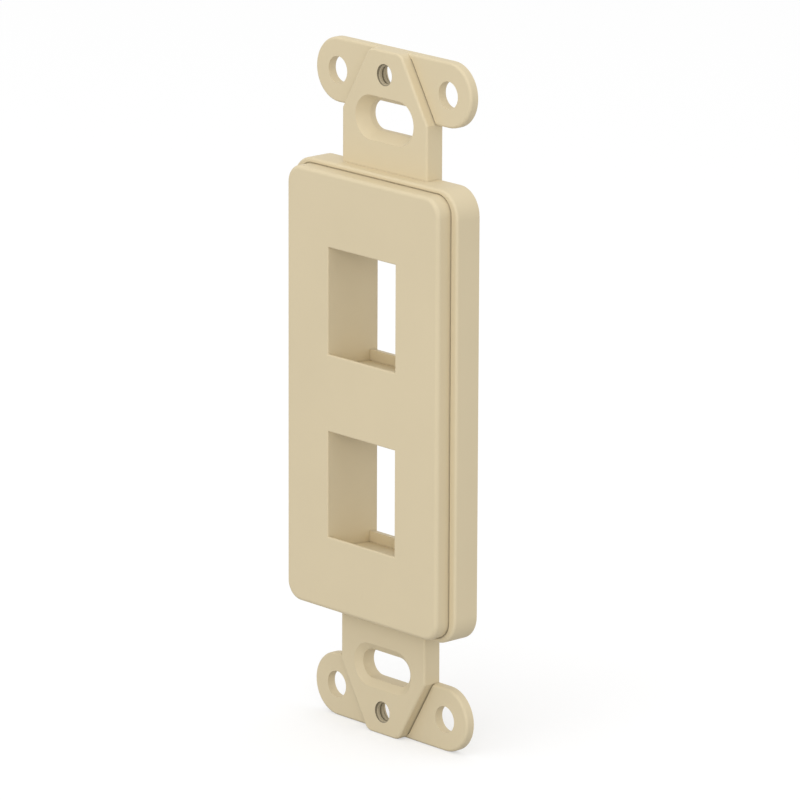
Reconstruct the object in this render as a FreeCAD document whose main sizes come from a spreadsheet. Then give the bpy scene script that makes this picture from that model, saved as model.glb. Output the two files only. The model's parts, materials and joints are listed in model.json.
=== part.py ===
import FreeCAD, Part
import math
import os
import Sketcher

# A two-port keystone faceplate insert for a decorator style wall plate, moulded in one piece.
# Frame: X to the right, Y to the back, Z up. The origin is the middle of the mounting plane,
# which is the back of the strap, so the front faces lie at negative Y.

doc = FreeCAD.newDocument("keystone_faceplate")
sheet = doc.addObject("Spreadsheet::Sheet", "Sizes")


class Size:
    """A length on the sheet, or a formula of such lengths, with the text that binds a dimension to it."""

    def __init__(self, number, text):
        self.number = number
        self.text = text

    def joined(self, other, sign, number):
        other_text = other.text if isinstance(other, Size) else str(other)
        return Size(number, f"({self.text} {sign} {other_text})")

    def __add__(self, other):
        return self.joined(other, "+", self.number + number_of(other))

    def __sub__(self, other):
        return self.joined(other, "-", self.number - number_of(other))

    def __mul__(self, other):
        return self.joined(other, "*", self.number * number_of(other))

    def __truediv__(self, other):
        return self.joined(other, "/", self.number / number_of(other))

    def __neg__(self):
        return Size(-self.number, f"(0 - {self.text})")


def number_of(value):
    return value.number if isinstance(value, Size) else value


ZERO = Size(0.0, "0")
row_count = 0


def size(alias, number, meaning):
    """Writes one driving dimension in millimetres to the sheet."""
    global row_count
    row_count += 1
    sheet.set(f"A{row_count}", meaning)
    sheet.set(f"B{row_count}", str(number))
    sheet.setAlias(f"B{row_count}", alias)
    return Size(float(number), f"Sizes.{alias}")


# Panel that fills the wall plate's window
window_width = size("window_width", 33.3, "width of the wall plate's window")
window_height = size("window_height", 66.8, "height of the wall plate's window")
window_gap = size("window_gap", 0.12, "clearance between panel and window, each side")
panel_corner = size("panel_corner", 2.8, "corner radius of the panel")
panel_rise = size("panel_rise", 2.45, "height of the panel over the ledge")
panel_edge = size("panel_edge", 0.6, "round on the panel's front edge")

# Hollow body behind the panel
ledge_side = size("ledge_side", 1.45, "width of the ledge beside the panel")
ledge_end = size("ledge_end", 0.8, "width of the ledge above and below the panel")
body_corner = size("body_corner", 4.0, "corner radius of the body")
body_depth = size("body_depth", 4.35, "depth of the body from rim to ledge")
rim_setback = size("rim_setback", 0.6, "distance of the body's rim ahead of the mounting plane")
ledge_edge = size("ledge_edge", 0.4, "round on the ledge's outer edge")
foot_width = size("foot_width", 0.2, "width of the fine groove at the panel's foot")
foot_depth = size("foot_depth", 0.25, "depth of the groove at the panel's foot")
wall = size("wall", 1.8, "thickness of the body's walls and of the front")

# Screw holes of the strap
box_screw_pitch = size("box_screw_pitch", 83.34, "spacing of the box screw slots")
screw_step = size("screw_step", 6.74, "distance from a box screw slot to the threaded hole beyond it")
slot_length = size("slot_length", 10.5, "length of a box screw slot")
slot_width = size("slot_width", 4.5, "width of a box screw slot")
sink_margin = size("sink_margin", 1.1, "width of the countersink around a slot")
sink_depth_top = size("sink_depth_top", 1.95, "depth of the upper countersink")
sink_depth_bottom = size("sink_depth_bottom", 0.85, "depth of the lower countersink")
plate_screw_bore = size("plate_screw_bore", 3.24, "diameter of a threaded hole at the thread's root")
relief_bore = size("relief_bore", 5.4, "diameter of the recess behind a threaded hole")
relief_depth = size("relief_depth", 1.2, "depth of the recess behind a threaded hole")

# Strap with its ears
strap_thickness = size("strap_thickness", 3.0, "thickness of the neck and boss")
neck_width = size("neck_width", 18.5, "width of the neck")
strap_edge = size("strap_edge", 0.35, "round on the neck's and boss's front edges")
boss_tip_width = size("boss_tip_width", 8.2, "width of the boss at its outer end")
boss_corner = size("boss_corner", 1.5, "radius of the boss's outer corners")
ear_thickness = size("ear_thickness", 1.4, "thickness of the ears")
ear_radius = size("ear_radius", 4.87, "radius of an ear's round end")
ear_hole_width = size("ear_hole_width", 24.0, "spacing of the ear holes across the strap")
ear_drop = size("ear_drop", 1.31, "distance of the ear holes from the threaded hole, along the strap")
ear_hole = size("ear_hole", 4.1, "diameter of an ear hole")
ear_edge = size("ear_edge", 0.4, "round on the ears' front edges")
score_width = size("score_width", 0.25, "width of the score line where an ear snaps off the boss")
score_depth = size("score_depth", 0.5, "depth of the score line")
score_end = size("score_end", 0.6, "distance of the score line's end from the boss's end")

# Keystone ports
port_pitch = size("port_pitch", 27.9, "spacing of the two ports")
port_width = size("port_width", 14.7, "width of a port")
port_height = size("port_height", 16.2, "height of a port's front opening")
port_depth = size("port_depth", 9.8, "depth of a port from the panel's face")
port_edge = size("port_edge", 0.2, "round on a port's front edge")
sill_land = size("sill_land", 0.4, "flat part of the sill below a port")
hook_room = size("hook_room", 1.9, "room for the jack's fixed hook below the opening")
hook_fall = size("hook_fall", 0.35, "fall of the port's floor towards its catch")
latch_room = size("latch_room", 4.0, "room for the jack's latch above the opening")
catch_depth = size("catch_depth", 8.3, "distance from the panel's face to the catches")
hook_catch = size("hook_catch", 1.7, "height of the lower catch over the floor")
hook_bevel = size("hook_bevel", 0.3, "fall of the lower catch's top towards the back")
latch_catch = size("latch_catch", 2.0, "height of the upper catch below the ceiling")
sleeve_wall = size("sleeve_wall", 1.5, "thickness of the walls around a port")

# Ribs in the hollow back
rib = size("rib", 1.2, "thickness of a rib")
rib_setback = size("rib_setback", 1.0, "distance of the ribs ahead of the rim")
rib_column = size("rib_column", 10.0, "spacing of the two upright ribs")
overlap = size("overlap", 0.5, "depth by which a rib or sleeve is rooted in the wall that carries it")

doc.recompute()

panel_width = window_width - window_gap * 2
panel_height = window_height - window_gap * 2
body_width = panel_width + ledge_side * 2
body_height = panel_height + ledge_end * 2
ledge_front = rim_setback + body_depth
panel_front = ledge_front + panel_rise
plate_screw_pitch = box_screw_pitch + screw_step * 2
ear_hole_height = plate_screw_pitch - ear_drop * 2
ear_inner = ear_hole_height / 2 - ear_radius
strap_reach = ear_hole_height / 2 + ear_radius
sleeve_back = port_depth - panel_front

node = doc.addObject("PartDesign::Body", "Faceplate")
node.Label = "keystone_faceplate"
node.Placement = FreeCAD.Placement()
node.AllowCompound = True


def origin_plane(role):
    for feature in node.Origin.OriginFeatures:
        if feature.Role == role:
            return feature
    raise RuntimeError(f"no plane {role}")


def sketch_on(role, name, offset):
    """A sketch parallel to an origin plane; offset runs along the plane's normal, on XZ towards the front."""
    sketch = node.newObject("Sketcher::SketchObject", name)
    sketch.AttachmentSupport = (origin_plane(role), [""])
    sketch.MapMode = "FlatFace"
    sketch.AttachmentOffset = FreeCAD.Placement(FreeCAD.Vector(0, 0, offset.number), FreeCAD.Rotation())
    if offset is not ZERO:
        sketch.setExpression("AttachmentOffset.Base.z", offset.text)
    return sketch


def dimension(sketch, kind, geometry, point, value):
    """Sets one coordinate of a point, or a radius, and binds it to the sheet."""
    axis = {"DistanceX": -2, "DistanceY": -1}.get(kind)
    if value is ZERO:
        sketch.addConstraint(Sketcher.Constraint("PointOnObject", geometry, point, axis))
        return
    if axis is None:
        index = sketch.addConstraint(Sketcher.Constraint(kind, geometry, value.number))
    else:
        index = sketch.addConstraint(Sketcher.Constraint(kind, -1, 1, geometry, point, value.number))
    sketch.setExpression(f"Constraints[{index}]", value.text)


def outline(sketch, corners):
    """Closes an outline anticlockwise around corners (x, y, radius), where x and y are the centre of the
    corner's arc, or the corner itself where the radius is None."""
    places = [(x.number, y.number, number_of(radius or 0.0)) for x, y, radius in corners]
    count = len(corners)
    outward = []
    for i in range(count):
        x0, y0, r0 = places[i]
        x1, y1, r1 = places[(i + 1) % count]
        length = math.hypot(x1 - x0, y1 - y0)
        along = (r0 - r1) / length
        across = math.sqrt(1.0 - along * along)
        ux, uy = (x1 - x0) / length, (y1 - y0) / length
        outward.append((along * ux + across * uy, along * uy - across * ux))
    lines = []
    for i in range(count):
        x0, y0, r0 = places[i]
        x1, y1, r1 = places[(i + 1) % count]
        nx, ny = outward[i]
        start = FreeCAD.Vector(x0 + r0 * nx, y0 + r0 * ny, 0)
        end = FreeCAD.Vector(x1 + r1 * nx, y1 + r1 * ny, 0)
        lines.append(sketch.addGeometry(Part.LineSegment(start, end)))
    for i in range(count):
        x, y, radius = corners[i]
        before, after = lines[i - 1], lines[i]
        if radius is None:
            sketch.addConstraint(Sketcher.Constraint("Coincident", before, 2, after, 1))
            dimension(sketch, "DistanceX", after, 1, x)
            dimension(sketch, "DistanceY", after, 1, y)
            continue
        first = math.atan2(outward[i - 1][1], outward[i - 1][0])
        last = math.atan2(outward[i][1], outward[i][0])
        if last < first:
            last += 2 * math.pi
        circle = Part.Circle(FreeCAD.Vector(x.number, y.number, 0), FreeCAD.Vector(0, 0, 1), radius.number)
        arc = sketch.addGeometry(Part.ArcOfCircle(circle, first, last))
        sketch.addConstraint(Sketcher.Constraint("Tangent", before, 2, arc, 1))
        sketch.addConstraint(Sketcher.Constraint("Tangent", arc, 2, after, 1))
        dimension(sketch, "DistanceX", arc, 3, x)
        dimension(sketch, "DistanceY", arc, 3, y)
        dimension(sketch, "Radius", arc, 0, radius)


def rectangle(sketch, x, y, width, height, radius=None):
    """A rectangle centred at x, y, with round corners where a radius is given."""
    inset = radius if radius is not None else ZERO
    dx = width / 2 - inset
    dy = height / 2 - inset
    outline(sketch, [(x + dx, y - dy, radius), (x + dx, y + dy, radius),
                     (x - dx, y + dy, radius), (x - dx, y - dy, radius)])


def slot(sketch, y, half_pitch, radius):
    """A slot with round ends, lying along X at height y."""
    outline(sketch, [(half_pitch, y, radius), (-half_pitch, y, radius)])


def circle(sketch, x, y, radius):
    shape = Part.Circle(FreeCAD.Vector(x.number, y.number, 0), FreeCAD.Vector(0, 0, 1), radius.number)
    index = sketch.addGeometry(shape)
    dimension(sketch, "DistanceX", index, 3, x)
    dimension(sketch, "DistanceY", index, 3, y)
    dimension(sketch, "Radius", index, 0, radius)


def pad(sketch, length, name):
    feature = node.newObject("PartDesign::Pad", name)
    feature.Profile = sketch
    feature.Length = length.number
    feature.setExpression("Length", length.text)
    doc.recompute()
    return feature


def pocket(sketch, length, name, towards_normal=False, both_sides=False):
    """Cuts a sketch into the solid and makes sure that material went."""
    volume = node.Shape.Volume
    feature = node.newObject("PartDesign::Pocket", name)
    feature.Profile = sketch
    feature.Length = length.number
    feature.setExpression("Length", length.text)
    feature.Reversed = towards_normal
    if both_sides:
        feature.SideType = "Symmetric"
    doc.recompute()
    if node.Shape.Volume > volume - 1.0:
        raise RuntimeError(f"{name} cuts nothing")
    return feature


def fillet(radius, name, chosen):
    """Rounds the edges of the present solid that pass the test chosen(edge)."""
    base = node.Tip
    names = [f"Edge{i + 1}" for i, edge in enumerate(base.Shape.Edges) if chosen(edge)]
    feature = node.newObject("PartDesign::Fillet", name)
    feature.Base = (base, names)
    feature.Radius = radius.number
    feature.setExpression("Radius", radius.text)
    doc.recompute()
    return feature


def lies_at_front(distance):
    """Test for edges in the plane at this distance ahead of the mounting plane."""
    def test(edge):
        box = edge.BoundBox
        return abs(box.YMin + distance.number) < 0.01 and abs(box.YMax + distance.number) < 0.01
    return test


# Ears with their round front edges
ear_sketch = sketch_on("XZ_Plane", "EarOutline", ZERO)
for end in (ear_hole_height / 2, -(ear_hole_height / 2)):
    slot(ear_sketch, end, ear_hole_width / 2, ear_radius)
pad(ear_sketch, ear_thickness, "Ears")
fillet(ear_edge, "EarEdges", lies_at_front(ear_thickness))


def strap_outline(sketch, margin, shortfall):
    """The neck with its two tapering bosses, wider by the margin and shorter at both ends by the shortfall."""
    side_x = neck_width / 2 + margin
    tip_x = boss_tip_width / 2 - boss_corner + shortfall / 2
    tip_z = strap_reach - boss_corner - shortfall
    corner = boss_corner + margin
    outline(sketch, [(side_x, -ear_inner, None), (side_x, ear_inner, None),
                     (tip_x, tip_z, corner), (-tip_x, tip_z, corner),
                     (-side_x, ear_inner, None), (-side_x, -ear_inner, None),
                     (-tip_x, -tip_z, corner), (tip_x, -tip_z, corner)])


# Score lines: a shallow cut in the ears, a little wider than the strap that is then set in it
score_sketch = sketch_on("XZ_Plane", "ScoreOutline", ear_thickness)
strap_outline(score_sketch, score_width, score_end)
pocket(score_sketch, score_depth, "ScoreLines")

# Neck and bosses, one thick bar whose ends taper between the ears
strap_sketch = sketch_on("XZ_Plane", "StrapOutline", ZERO)
strap_outline(strap_sketch, ZERO, ZERO)
pad(strap_sketch, strap_thickness, "Strap")
fillet(strap_edge, "StrapEdges", lies_at_front(strap_thickness))

# Body up to the ledge
body_sketch = sketch_on("XZ_Plane", "BodyOutline", rim_setback)
rectangle(body_sketch, ZERO, ZERO, body_width, body_height, body_corner)
pad(body_sketch, body_depth, "BodyBlock")
fillet(ledge_edge, "LedgeEdge", lies_at_front(ledge_front))

# Panel that shows in the window, set in a shallow cut whose rim stays open as the fine groove at its foot
foot_sketch = sketch_on("XZ_Plane", "FootOutline", ledge_front)
rectangle(foot_sketch, ZERO, ZERO, panel_width + foot_width * 2, panel_height + foot_width * 2,
          panel_corner + foot_width)
pocket(foot_sketch, foot_depth, "FootGroove")
panel_sketch = sketch_on("XZ_Plane", "PanelOutline", ledge_front - foot_depth)
rectangle(panel_sketch, ZERO, ZERO, panel_width, panel_height, panel_corner)
pad(panel_sketch, panel_rise + foot_depth, "Panel")
fillet(panel_edge, "PanelEdge", lies_at_front(panel_front))

# Hollow back, in two steps that keep the wall even behind the ledge
wide_sketch = sketch_on("XZ_Plane", "WideHollowOutline", ZERO)
rectangle(wide_sketch, ZERO, ZERO, body_width - wall * 2, body_height - wall * 2, body_corner - wall)
pocket(wide_sketch, ledge_front - wall, "WideHollow", towards_normal=True)
deep_sketch = sketch_on("XZ_Plane", "DeepHollowOutline", ZERO)
rectangle(deep_sketch, ZERO, ZERO, panel_width - wall * 2, panel_height - wall * 2, panel_corner - wall)
pocket(deep_sketch, panel_front - wall, "DeepHollow", towards_normal=True)

# Sleeves around the ports, rooted in the front
sleeve_root = panel_front - wall + overlap
sleeve_top = port_height / 2 + latch_room + sleeve_wall
sleeve_bottom = port_height / 2 + hook_room + hook_fall + sleeve_wall
sleeve_sketch = sketch_on("XZ_Plane", "SleeveOutline", -sleeve_back)
for centre in (port_pitch / 2, -(port_pitch / 2)):
    rectangle(sleeve_sketch, ZERO, centre + (sleeve_top - sleeve_bottom) / 2,
              port_width + sleeve_wall * 2, sleeve_top + sleeve_bottom)
pad(sleeve_sketch, sleeve_back + sleeve_root, "Sleeves")

# Ribs that tie the sleeves to the walls; the middle one steps in with the hollow
rib_back = rim_setback + rib_setback
rib_depth = sleeve_root - rib_back
rib_height = (sleeve_top - sleeve_bottom) / 2
wide_rib_sketch = sketch_on("XZ_Plane", "WideRibOutline", rib_back)
rectangle(wide_rib_sketch, ZERO, rib_height, body_width - wall * 2 + overlap * 2, rib)
pad(wide_rib_sketch, ledge_front - wall + overlap - rib_back, "WideRib")
deep_rib_sketch = sketch_on("XZ_Plane", "DeepRibOutline", rib_back)
rectangle(deep_rib_sketch, ZERO, rib_height, panel_width - wall * 2 + overlap * 2, rib)
pad(deep_rib_sketch, rib_depth, "DeepRib")
upright_sketch = sketch_on("XZ_Plane", "UprightRibOutline", rib_back)
for centre in (rib_column / 2, -(rib_column / 2)):
    rectangle(upright_sketch, centre, ZERO, rib, panel_height - wall * 2 + overlap * 2)
pad(upright_sketch, rib_depth, "UprightRibs")

# Keystone ports, cut across from their side profile: a sloped sill and floor with the fixed catch below,
# the deeper room for the latch with its catch above
port_sketch = sketch_on("YZ_Plane", "PortProfile", ZERO)
face = -panel_front
catch = catch_depth - panel_front
for centre in (port_pitch / 2, -(port_pitch / 2)):
    sill = centre - port_height / 2
    head = centre + port_height / 2
    floor = sill - hook_room
    floor_end = floor - hook_fall
    hook_top = floor_end + hook_catch
    ceiling = head + latch_room
    latch_tip = ceiling - latch_catch
    outline(port_sketch, [(face, sill, None), (face + sill_land, sill, None),
                          (face + sill_land + hook_room, floor, None), (catch, floor_end, None),
                          (catch, hook_top, None), (sleeve_back, hook_top - hook_bevel, None),
                          (sleeve_back, latch_tip, None), (catch, latch_tip, None),
                          (catch, ceiling, None), (face + wall, ceiling, None),
                          (face + wall, head, None), (face, head, None)])
pocket(port_sketch, port_width, "Ports", both_sides=True)
at_face = lies_at_front(panel_front)
port_side = port_width.number / 2 + 0.01
fillet(port_edge, "PortEdges", lambda edge: at_face(edge) and edge.BoundBox.XMax < port_side
       and edge.BoundBox.XMin > -port_side)

# Box screw slots with their countersinks, the upper one deeper
slot_reach = (slot_length - slot_width) / 2
slot_sketch = sketch_on("XZ_Plane", "BoxSlotOutline", strap_thickness)
for centre in (box_screw_pitch / 2, -(box_screw_pitch / 2)):
    slot(slot_sketch, centre, slot_reach, slot_width / 2)
pocket(slot_sketch, strap_thickness, "BoxSlots")
for name, centre, depth in (("UpperSink", box_screw_pitch / 2, sink_depth_top),
                            ("LowerSink", -(box_screw_pitch / 2), sink_depth_bottom)):
    sink_sketch = sketch_on("XZ_Plane", f"{name}Outline", strap_thickness)
    slot(sink_sketch, centre, slot_reach, slot_width / 2 + sink_margin)
    sink = pocket(sink_sketch, depth, name)
    sink.setExpression("TaperAngle", f"-atan({sink_margin.text} / {depth.text})")
    doc.recompute()

# Threaded holes for the plate screws, at the root of the thread, each with a recess behind it
bore_sketch = sketch_on("XZ_Plane", "PlateScrewOutline", strap_thickness)
for centre in (plate_screw_pitch / 2, -(plate_screw_pitch / 2)):
    circle(bore_sketch, ZERO, centre, plate_screw_bore / 2)
pocket(bore_sketch, strap_thickness, "PlateScrewHoles")
relief_sketch = sketch_on("XZ_Plane", "ReliefOutline", ZERO)
for centre in (plate_screw_pitch / 2, -(plate_screw_pitch / 2)):
    circle(relief_sketch, ZERO, centre, relief_bore / 2)
pocket(relief_sketch, relief_depth, "Reliefs", towards_normal=True)

# Plain holes in the ears
hole_sketch = sketch_on("XZ_Plane", "EarHoleOutline", ear_thickness)
for across in (ear_hole_width / 2, -(ear_hole_width / 2)):
    for along in (ear_hole_height / 2, -(ear_hole_height / 2)):
        circle(hole_sketch, across, along, ear_hole / 2)
pocket(hole_sketch, ear_thickness, "EarHoles")

doc.recompute()
failed = [item.Name for item in doc.Objects if "Invalid" in item.State or "Error" in item.State]
if failed:
    raise RuntimeError(f"objects not computed: {failed}")
shape = node.Shape
if shape.isNull() or not shape.isValid() or len(shape.Solids) != 1:
    raise RuntimeError("the faceplate is not one valid solid")
print(f"volume {shape.Volume / 1000:.3f} cm3")

os.makedirs("parts", exist_ok=True)
shape.exportStep(f"parts/{node.Label}.step")
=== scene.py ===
import json
import math

import bpy
from bpy.props import FloatProperty, FloatVectorProperty, PointerProperty
from mathutils import Matrix, Vector


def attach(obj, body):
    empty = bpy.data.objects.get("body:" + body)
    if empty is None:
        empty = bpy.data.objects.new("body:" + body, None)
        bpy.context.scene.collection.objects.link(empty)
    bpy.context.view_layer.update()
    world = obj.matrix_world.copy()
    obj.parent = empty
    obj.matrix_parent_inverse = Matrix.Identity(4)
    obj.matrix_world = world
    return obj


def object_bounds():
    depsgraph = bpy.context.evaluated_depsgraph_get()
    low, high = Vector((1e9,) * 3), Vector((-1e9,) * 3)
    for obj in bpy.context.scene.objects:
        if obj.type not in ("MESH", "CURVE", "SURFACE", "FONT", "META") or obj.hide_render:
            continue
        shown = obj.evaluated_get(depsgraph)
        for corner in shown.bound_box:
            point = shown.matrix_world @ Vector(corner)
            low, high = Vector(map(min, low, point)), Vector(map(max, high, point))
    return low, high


bl_info = {
    "name": "Keystone faceplate",
    "version": (1, 0, 0),
    "blender": (4, 5, 0),
    "location": "View3D > Sidebar > Faceplate",
    "description": "Dresses the frame of a keystone faceplate and sets it on a pale stage",
    "category": "Object",
}

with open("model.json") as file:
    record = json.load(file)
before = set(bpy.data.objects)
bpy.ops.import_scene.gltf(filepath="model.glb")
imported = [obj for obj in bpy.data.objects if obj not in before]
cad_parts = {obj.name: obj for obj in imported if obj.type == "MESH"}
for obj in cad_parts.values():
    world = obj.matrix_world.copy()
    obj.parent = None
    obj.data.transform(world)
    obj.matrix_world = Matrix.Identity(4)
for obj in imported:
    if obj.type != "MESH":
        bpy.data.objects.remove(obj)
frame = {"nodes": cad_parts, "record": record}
cad_low, cad_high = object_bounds()

MM = 0.001
MOULDING = "keystone_faceplate"
PLASTIC_SLOT = "ivory_plastic"
plate_screws = next(mount for mount in frame["record"]["mounts"] if mount["name"] == "plate_screws")

# Finish of the plastic
PLASTIC_IOR = 1.45
CLOUD_SCALE = 60.0  # clouds in a metre
CLOUD_TONES = ((0.35, 0.985), (0.65, 1.01))  # value of the noise, factor of the colour
# Painted shade in inner corners: the colour is darkened where the surface is less open
OPENNESS_OF_CORNER, OPENNESS_OF_FACE = 0.2, 0.9
CORNER_SHADE_LEVEL = 0.78
GRAIN_SCALE = 9000.0  # grains in a metre
GRAIN_HEIGHT = 0.01 * MM
GRAIN_STRENGTH = 0.15

# Painted shade by the share of the bore's radius: lighter on the crest, darkest at the root, none outside the
# bore
THREAD_PAINTED_SHADES = ((0.86, 0.74), (0.97, 0.38), (1.0, 0.38), (1.02, 1.0))
WIDEST_SHARE = 2.0  # share at the end of the ramp

# Shape of the thread's ridge: widths are shares of its pitch, heights of its height, lengths of its length
THREAD_INPUTS = ("Distance", "Bore", "Height", "Pitch", "Front", "Back")
ROOT_WIDTH = 0.78
CREST_WIDTH = 0.5
SUNK_HEIGHT = 0.3
RIDGE_MIDDLE = (1.0 - SUNK_HEIGHT) / 2
FADE_LENGTH = 1 / 8
POINTS_PER_TURN = 48

# The floor reflects half of the light, and its own glow makes it white to the eye outside the shadow
FLOOR_GREY = (0.5, 0.5, 0.5, 1.0)
FLOOR_GLOW = 0.505
WHITE = (1.0, 1.0, 1.0, 1.0)


class MouldingSettings(bpy.types.PropertyGroup):
    """Finish of the moulded plastic."""

    colour: FloatVectorProperty(
        name="Colour",
        description="Colour of the plastic",
        subtype="COLOR",
        size=3,
        min=0.0,
        max=1.0,
        default=(0.665, 0.565, 0.376),
    )
    roughness: FloatProperty(
        name="Roughness",
        description="Roughness of the satin surface",
        subtype="FACTOR",
        min=0.0,
        max=1.0,
        default=0.6,
    )
    # Reach of the painted shade in inner corners
    corner_shade_reach: FloatProperty(
        name="Crease",
        description="Distance over which an inner corner looks darker",
        subtype="DISTANCE",
        default=0.4 * MM,
    )


class ThreadSettings(bpy.types.PropertyGroup):
    """Thread in the two plate screw holes."""

    distance: FloatProperty(
        name="Distance",
        description="Distance between the two threaded holes",
        subtype="DISTANCE",
        default=plate_screws["dims"]["spacing_y_mm"] * MM,
    )
    bore: FloatProperty(
        name="Bore",
        description="Radius of the hole at the thread's root",
        subtype="DISTANCE",
        default=plate_screws["dims"]["hole_r_mm"] * MM,
    )
    height: FloatProperty(
        name="Height",
        description="Height of the thread's crest over its root",
        subtype="DISTANCE",
        default=0.24 * MM,
    )
    pitch: FloatProperty(
        name="Pitch",
        description="Distance from one turn of the thread to the next",
        subtype="DISTANCE",
        default=0.794 * MM,
    )
    front: FloatProperty(
        name="Front",
        description="Distance of the thread's front end ahead of the mounting plane",
        subtype="DISTANCE",
        default=2.85 * MM,
    )
    back: FloatProperty(
        name="Back",
        description="Distance of the thread's back end ahead of the mounting plane",
        subtype="DISTANCE",
        default=1.3 * MM,
    )


class StageSettings(bpy.types.PropertyGroup):
    """Floor, lamps and camera."""

    azimuth: FloatProperty(
        name="Azimuth",
        description="Direction of the camera round the faceplate, to the right of its front",
        subtype="ANGLE",
        default=math.radians(47.9),
    )
    elevation: FloatProperty(
        name="Elevation",
        description="Height of the camera over the horizon",
        subtype="ANGLE",
        default=math.radians(14.6),
    )
    roll: FloatProperty(
        name="Roll",
        description="Turn of the camera about its own line of sight",
        subtype="ANGLE",
        default=math.radians(0.23),
    )
    distance: FloatProperty(
        name="Distance",
        description="Distance of the camera from the point it looks at",
        subtype="DISTANCE",
        default=1.0,
    )
    aim: FloatVectorProperty(
        name="Aim",
        description="Point that the camera looks at",
        subtype="XYZ_LENGTH",
        size=3,
        default=(1.71 * MM, -1.24 * MM, -0.34 * MM),
    )
    lens: FloatProperty(
        name="Lens",
        description="Focal length for the 36 mm sensor, in millimetres",
        subtype="DISTANCE_CAMERA",
        default=305.9,
    )
    floor_size: FloatProperty(
        name="Floor size",
        description="Side of the square floor",
        subtype="DISTANCE",
        default=6.0,
    )
    sky: FloatProperty(
        name="Sky",
        description="Strength of the even light from all sides",
        default=0.85,
    )
    top: FloatProperty(
        name="Top lamp",
        description="Power of the large lamp overhead",
        subtype="POWER",
        default=2.6,
    )
    front: FloatProperty(
        name="Front lamp",
        description="Power of the large lamp in front",
        subtype="POWER",
        default=1.8,
    )
    side: FloatProperty(
        name="Side lamp",
        description="Power of the lamp on the camera's side",
        subtype="POWER",
        default=2.8,
    )


def add_node(tree, kind, place, inputs=None, **properties):
    """A node at a place in the editor. Each input is set to a value or linked to another node's output."""
    node = tree.nodes.new(kind)
    node.location = place
    for name, value in properties.items():
        setattr(node, name, value)
    for name, value in (inputs or {}).items():
        if isinstance(value, bpy.types.NodeSocket):
            tree.links.new(value, node.inputs[name])
        else:
            node.inputs[name].default_value = value
    return node


def maths(tree, operation, place, *values):
    """The output of a math node whose inputs are numbers or other nodes' outputs."""
    node = add_node(tree, "ShaderNodeMath", place, dict(enumerate(values)), operation=operation)
    return node.outputs["Value"]


def vector(tree, place, **lengths):
    """The output of a vector node with the given lengths along X, Y or Z."""
    return add_node(tree, "ShaderNodeCombineXYZ", place, lengths).outputs["Vector"]


def emptied_tree(owner):
    """The node tree of a material or a world, without the nodes that it starts with."""
    owner.use_nodes = True
    owner.node_tree.nodes.clear()
    return owner.node_tree


def new_object(name, data):
    piece = bpy.data.objects.new(name, data)
    bpy.context.scene.collection.objects.link(piece)
    return piece


def clouded_colour(tree, place, colour):
    """The plastic's colour with faint clouds."""
    inputs = {"Vector": place, "Scale": CLOUD_SCALE, "Detail": 3.0}
    clouds = add_node(tree, "ShaderNodeTexNoise", (-700, 200), inputs)
    tone = add_node(tree, "ShaderNodeValToRGB", (-450, 200), {"Fac": clouds.outputs["Fac"]})
    for stop, (position, level) in zip(tone.color_ramp.elements, CLOUD_TONES):
        stop.position = position
        stop.color = (*(Vector(colour) * level), 1.0)
    return tone.outputs["Color"]


def corner_painted_shade(tree, corner_shade_reach):
    """Painted shade by how open the surface is: darker in an inner corner."""
    openness = add_node(tree, "ShaderNodeAmbientOcclusion", (-450, 450), {"Distance": corner_shade_reach}, samples=16)
    inputs = {
        "Value": openness.outputs["AO"],
        "From Min": OPENNESS_OF_CORNER,
        "From Max": OPENNESS_OF_FACE,
        "To Min": CORNER_SHADE_LEVEL,
        "To Max": 1.0,
    }
    return add_node(tree, "ShaderNodeMapRange", (-200, 450), inputs).outputs["Result"]


def thread_painted_shade(tree, place, thread):
    """Painted shade in the threaded holes, by the distance from their axis."""
    parts = add_node(tree, "ShaderNodeSeparateXYZ", (-700, 900), {"Vector": place}).outputs
    height = maths(tree, "ABSOLUTE", (-530, 900), parts["Z"])
    above_axis = maths(tree, "SUBTRACT", (-350, 900), height, thread.distance / 2)
    across_squared = maths(tree, "MULTIPLY", (-350, 1100), parts["X"], parts["X"])
    above_squared = maths(tree, "MULTIPLY", (-170, 900), above_axis, above_axis)
    radius = maths(tree, "SQRT", (190, 900), maths(tree, "ADD", (10, 900), across_squared, above_squared))
    share = maths(tree, "DIVIDE", (370, 900), radius, thread.bore)
    place_on_ramp = maths(tree, "MULTIPLY", (460, 700), share, 1 / WIDEST_SHARE)
    tone = add_node(tree, "ShaderNodeValToRGB", (550, 900), {"Fac": place_on_ramp})
    stops = tone.color_ramp.elements
    for position, level in THREAD_PAINTED_SHADES:
        stops.new(position / WIDEST_SHARE).color = (level, level, level, 1.0)
    stops.remove(stops[0])
    stops.remove(stops[len(stops) - 1])
    return tone.outputs["Color"]


def grain_normal(tree, place):
    """Surface normal with a fine grain."""
    inputs = {"Vector": place, "Scale": GRAIN_SCALE, "Detail": 2.0}
    grain = add_node(tree, "ShaderNodeTexNoise", (-200, -300), inputs)
    inputs = {"Height": grain.outputs["Fac"], "Strength": GRAIN_STRENGTH, "Distance": GRAIN_HEIGHT}
    return add_node(tree, "ShaderNodeBump", (200, -300), inputs).outputs["Normal"]


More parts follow.
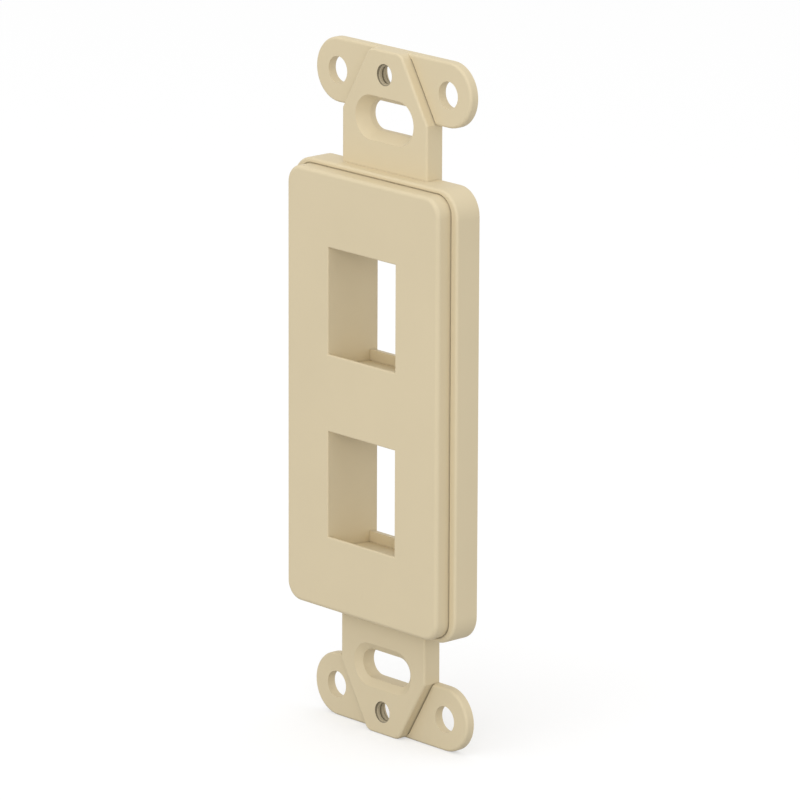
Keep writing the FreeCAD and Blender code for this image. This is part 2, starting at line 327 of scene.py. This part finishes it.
def moulded_plastic(settings, thread):
    """Satin ivory plastic: faint clouds in the colour, painted shade in inner corners and threaded holes, a
    fine grain.
    """
    material = bpy.data.materials.new(PLASTIC_SLOT)
    tree = emptied_tree(material)
    place = add_node(tree, "ShaderNodeTexCoord", (-900, 0)).outputs["Object"]
    # Painted shade of inner corners and threaded holes darkens the clouded colour
    painted_shades = corner_painted_shade(tree, settings.corner_shade_reach), thread_painted_shade(tree, place, thread)
    layers = {
        "Factor": 1.0,
        "A": clouded_colour(tree, place, settings.colour),
        "B": maths(tree, "MULTIPLY", (-50, 650), *painted_shades),
    }
    colour = add_node(tree, "ShaderNodeMix", (100, 200), layers, data_type="RGBA", blend_type="MULTIPLY")
    finish = {
        "Base Color": colour.outputs["Result"],
        "Roughness": settings.roughness,
        "IOR": PLASTIC_IOR,
        "Normal": grain_normal(tree, place),
    }
    surface = add_node(tree, "ShaderNodeBsdfPrincipled", (600, 0), finish)
    add_node(tree, "ShaderNodeOutputMaterial", (900, 0), {"Surface": surface.outputs["BSDF"]})
    return material


class FACEPLATE_OT_dress_moulding(bpy.types.Operator):
    """Give the moulded faceplate its plastic"""

    bl_idname = "faceplate.dress_moulding"
    bl_label = "Dress moulding"

    def execute(self, context):
        material = moulded_plastic(context.scene.faceplate_moulding, context.scene.faceplate_thread)
        node = frame["nodes"][MOULDING]
        node.data.materials.clear()
        node.data.materials.append(material)
        return {"FINISHED"}


def thread_helix(tree, given, length):
    """Curve on the wall of a hole, one turn for each pitch, with its axis upright."""
    inputs = {
        "Resolution": POINTS_PER_TURN,
        "Rotations": maths(tree, "DIVIDE", (-1000, 300), length, given["Pitch"]),
        "Start Radius": given["Bore"],
        "End Radius": given["Bore"],
        "Height": length,
        "Reverse": True,
    }
    helix = add_node(tree, "GeometryNodeCurveSpiral", (-800, 300), inputs)
    curve = {"Curve": helix.outputs["Curve"]}
    return add_node(tree, "GeometryNodeSetCurveNormal", (-600, 300), curve, mode="Z_UP").outputs["Curve"]


def ridge_profile(tree, given):
    """Cross-section of the ridge: its crest points to the hole's axis, and its root is sunk in the wall."""
    inputs = {
        "Bottom Width": maths(tree, "MULTIPLY", (-800, -100), given["Pitch"], ROOT_WIDTH),
        "Top Width": maths(tree, "MULTIPLY", (-800, -250), given["Pitch"], CREST_WIDTH),
        "Height": maths(tree, "MULTIPLY", (-800, -400), given["Height"], 1.0 + SUNK_HEIGHT),
        "Offset": 0.0,
    }
    ridge = add_node(tree, "GeometryNodeCurvePrimitiveQuadrilateral", (-500, -200), inputs, mode="TRAPEZOID")
    inward = maths(tree, "MULTIPLY", (-500, -500), given["Height"], -RIDGE_MIDDLE)
    inputs = {
        "Geometry": ridge.outputs["Curve"],
        "Translation": vector(tree, (-300, -500), X=inward),
        "Rotation": (0.0, 0.0, math.pi / 2),
    }
    return add_node(tree, "GeometryNodeTransform", (-100, -200), inputs).outputs["Geometry"]


def faded_ends(tree):
    """Size of the ridge along the thread: it grows from nothing at each end."""
    along = add_node(tree, "GeometryNodeSplineParameter", (-1000, 600)).outputs["Factor"]
    left = maths(tree, "SUBTRACT", (-800, 600), 1.0, along)
    nearest_end = maths(tree, "MINIMUM", (-600, 600), along, left)
    size = maths(tree, "DIVIDE", (-400, 600), nearest_end, FADE_LENGTH)
    return maths(tree, "MINIMUM", (-200, 600), size, 1.0)


def hole_axes(tree, given):
    """A point on the axis of each threaded hole."""
    half = maths(tree, "MULTIPLY", (100, -400), given["Distance"], -0.5)
    inputs = {
        "Count": 2,
        "Start Location": vector(tree, (300, -400), Z=half),
        "Offset": vector(tree, (300, -600), Z=given["Distance"]),
    }
    return add_node(tree, "GeometryNodeMeshLine", (500, -400), inputs).outputs["Mesh"]


def thread_tree(plastic):
    """Geometry nodes for a helical ridge on the wall of each threaded hole, fading out at its ends."""
    tree = bpy.data.node_groups.new("screw_thread", "GeometryNodeTree")
    tree.interface.new_socket(name="Geometry", in_out="OUTPUT", socket_type="NodeSocketGeometry")
    for name in THREAD_INPUTS:
        tree.interface.new_socket(name=name, in_out="INPUT", socket_type="NodeSocketFloat")
    given = add_node(tree, "NodeGroupInput", (-1400, 0)).outputs

    length = maths(tree, "SUBTRACT", (-1200, 300), given["Front"], given["Back"])
    inputs = {
        "Curve": thread_helix(tree, given, length),
        "Profile Curve": ridge_profile(tree, given),
        "Scale": faded_ends(tree),
        "Fill Caps": True,
    }
    upright = add_node(tree, "GeometryNodeCurveToMesh", (100, 300), inputs)
    start = maths(tree, "MULTIPLY", (100, -100), given["Front"], -1.0)
    inputs = {
        "Geometry": upright.outputs["Mesh"],
        "Translation": vector(tree, (300, -100), Y=start),
        "Rotation": (-math.pi / 2, 0.0, 0.0),
    }
    thread = add_node(tree, "GeometryNodeTransform", (500, 300), inputs)

    inputs = {"Points": hole_axes(tree, given), "Instance": thread.outputs["Geometry"]}
    both = add_node(tree, "GeometryNodeInstanceOnPoints", (700, 100), inputs)
    real = add_node(tree, "GeometryNodeRealizeInstances", (900, 100), {"Geometry": both.outputs["Instances"]})
    inputs = {"Geometry": real.outputs["Geometry"], "Shade Smooth": False}
    sharp = add_node(tree, "GeometryNodeSetShadeSmooth", (1100, 100), inputs)
    inputs = {"Geometry": sharp.outputs["Geometry"], "Material": plastic}
    coated = add_node(tree, "GeometryNodeSetMaterial", (1300, 100), inputs)
    add_node(tree, "NodeGroupOutput", (1500, 100), {"Geometry": coated.outputs["Geometry"]})
    return tree


def grown_mesh(name, tree, values):
    """Runs a geometry node tree with the given input values and keeps the result as a plain mesh."""
    carrier = new_object(f"{name}_carrier", bpy.data.meshes.new(f"{name}_carrier"))
    modifier = carrier.modifiers.new(name, "NODES")
    modifier.node_group = tree
    for item in tree.interface.items_tree:
        if item.in_out == "INPUT":
            modifier[item.identifier] = values[item.name]
    graph = bpy.context.evaluated_depsgraph_get()
    mesh = bpy.data.meshes.new_from_object(carrier.evaluated_get(graph))
    mesh.name = name
    bpy.data.objects.remove(carrier)
    return mesh


class FACEPLATE_OT_cut_threads(bpy.types.Operator):
    """Cut the thread in the two plate screw holes"""

    bl_idname = "faceplate.cut_threads"
    bl_label = "Cut threads"

    def execute(self, context):
        settings = context.scene.faceplate_thread
        values = {name: getattr(settings, name.lower()) for name in THREAD_INPUTS}
        plastic = frame["nodes"][MOULDING].data.materials[0]
        mesh = grown_mesh("plate_screw_threads", thread_tree(plastic), values)
        threads = new_object("plate_screw_threads", mesh)
        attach(threads, "root")
        return {"FINISHED"}


class FACEPLATE_OT_set_stage(bpy.types.Operator):
    """Set the floor, the lamps and the camera"""

    bl_idname = "faceplate.set_stage"
    bl_label = "Set stage"

    def execute(self, context):
        settings = context.scene.faceplate_stage
        lay_floor(settings)
        hang_lamps(settings)
        light_world(settings)
        place_camera(settings)
        context.scene.view_settings.view_transform = "Standard"
        return {"FINISHED"}


def eye_ray(tree, place):
    """1 where the eye sees a thing itself, in a mirror or through glass, and 0 for the light it gives."""
    rays = add_node(tree, "ShaderNodeLightPath", place).outputs
    left, height = place
    mirrored = maths(tree, "MAXIMUM", (left + 180, height), rays["Is Camera Ray"], rays["Is Glossy Ray"])
    return maths(tree, "MAXIMUM", (left + 360, height), mirrored, rays["Is Transmission Ray"])


def lay_floor(settings):
    """A pale floor under the faceplate, which keeps its shadow and is white to the eye."""
    material = bpy.data.materials.new("pale_floor")
    tree = emptied_tree(material)
    matt = add_node(tree, "ShaderNodeBsdfDiffuse", (100, 100), {"Color": FLOOR_GREY})
    strength = maths(tree, "MULTIPLY", (-150, -100), eye_ray(tree, (-800, -100)), FLOOR_GLOW)
    glow = add_node(tree, "ShaderNodeEmission", (100, -100), {"Strength": strength})
    inputs = {0: matt.outputs["BSDF"], 1: glow.outputs["Emission"]}
    together = add_node(tree, "ShaderNodeAddShader", (400, 0), inputs)
    add_node(tree, "ShaderNodeOutputMaterial", (600, 0), {"Surface": together.outputs["Shader"]})

    half = settings.floor_size / 2
    height = cad_low.z
    corners = [(-half, -half, height), (half, -half, height), (half, half, height), (-half, half, height)]
    mesh = bpy.data.meshes.new("floor")
    mesh.from_pydata(corners, [], [(0, 1, 2, 3)])
    mesh.materials.append(material)
    new_object("floor", mesh)


def hang_lamp(name, place, width, power):
    """A round lamp at a place in metres, turned to the faceplate."""
    lamp = bpy.data.lights.new(name, "AREA")
    lamp.shape = "DISK"
    lamp.size = width
    lamp.energy = power
    turn = Vector(place).to_track_quat("Z", "Y")
    new_object(name, lamp).matrix_world = Matrix.Translation(place) @ turn.to_matrix().to_4x4()


def hang_lamps(settings):
    """Large soft lamps overhead, in front and on the camera's side."""
    hang_lamp("top_lamp", place=(0.1, -0.3, 1.2), width=0.9, power=settings.top)
    hang_lamp("front_lamp", place=(0.0, -1.2, 0.4), width=0.9, power=settings.front)
    hang_lamp("side_lamp", place=(0.78, -0.72, 0.28), width=0.6, power=settings.side)


def light_world(settings):
    """Even light from all sides, in front of a white background."""
    world = bpy.data.worlds.new("white_room")
    bpy.context.scene.world = world
    tree = emptied_tree(world)
    inputs = {"Factor": eye_ray(tree, (-600, 0)), "A": settings.sky, "B": 1.0}
    strength = add_node(tree, "ShaderNodeMix", (100, 0), inputs, data_type="FLOAT")
    inputs = {"Color": WHITE, "Strength": strength.outputs["Result"]}
    background = add_node(tree, "ShaderNodeBackground", (400, 0), inputs)
    add_node(tree, "ShaderNodeOutputWorld", (600, 0), {"Surface": background.outputs["Background"]})


def place_camera(settings):
    """Looks at the faceplate from the front right, a little from above."""
    camera = bpy.data.cameras.new("camera")
    camera.lens = settings.lens
    camera.sensor_width = 36.0
    camera.clip_start = 0.05
    camera.clip_end = 50.0
    across = math.cos(settings.elevation)
    right = math.sin(settings.azimuth) * across
    ahead = math.cos(settings.azimuth) * across
    back = Vector((right, -ahead, math.sin(settings.elevation)))
    place = Vector(settings.aim) + back * settings.distance
    turn = back.to_track_quat("Z", "Y").to_matrix().to_4x4() @ Matrix.Rotation(settings.roll, 4, "Z")
    piece = new_object("camera", camera)
    piece.matrix_world = Matrix.Translation(place) @ turn
    bpy.context.scene.camera = piece


class FACEPLATE_PT_panel(bpy.types.Panel):
    """Panel that lists the faceplate's steps"""

    bl_label = "Faceplate"
    bl_idname = "FACEPLATE_PT_panel"
    bl_space_type = "VIEW_3D"
    bl_region_type = "UI"
    bl_category = "Faceplate"

    def draw(self, context):
        for step in STEPS:
            self.layout.operator(step.bl_idname)


SETTINGS = {
    "faceplate_moulding": MouldingSettings,
    "faceplate_thread": ThreadSettings,
    "faceplate_stage": StageSettings,
}
STEPS = [FACEPLATE_OT_dress_moulding, FACEPLATE_OT_cut_threads, FACEPLATE_OT_set_stage]


def register():
    for group in [*SETTINGS.values(), *STEPS, FACEPLATE_PT_panel]:
        bpy.utils.register_class(group)
    for name, group in SETTINGS.items():
        setattr(bpy.types.Scene, name, PointerProperty(type=group))


def unregister():
    for name in SETTINGS:
        delattr(bpy.types.Scene, name)
    for group in reversed([*SETTINGS.values(), *STEPS, FACEPLATE_PT_panel]):
        bpy.utils.unregister_class(group)


def main():
    register()
    bpy.ops.faceplate.dress_moulding()
    bpy.ops.faceplate.cut_threads()
    bpy.ops.faceplate.set_stage()


if __name__ == "__main__":
    main()
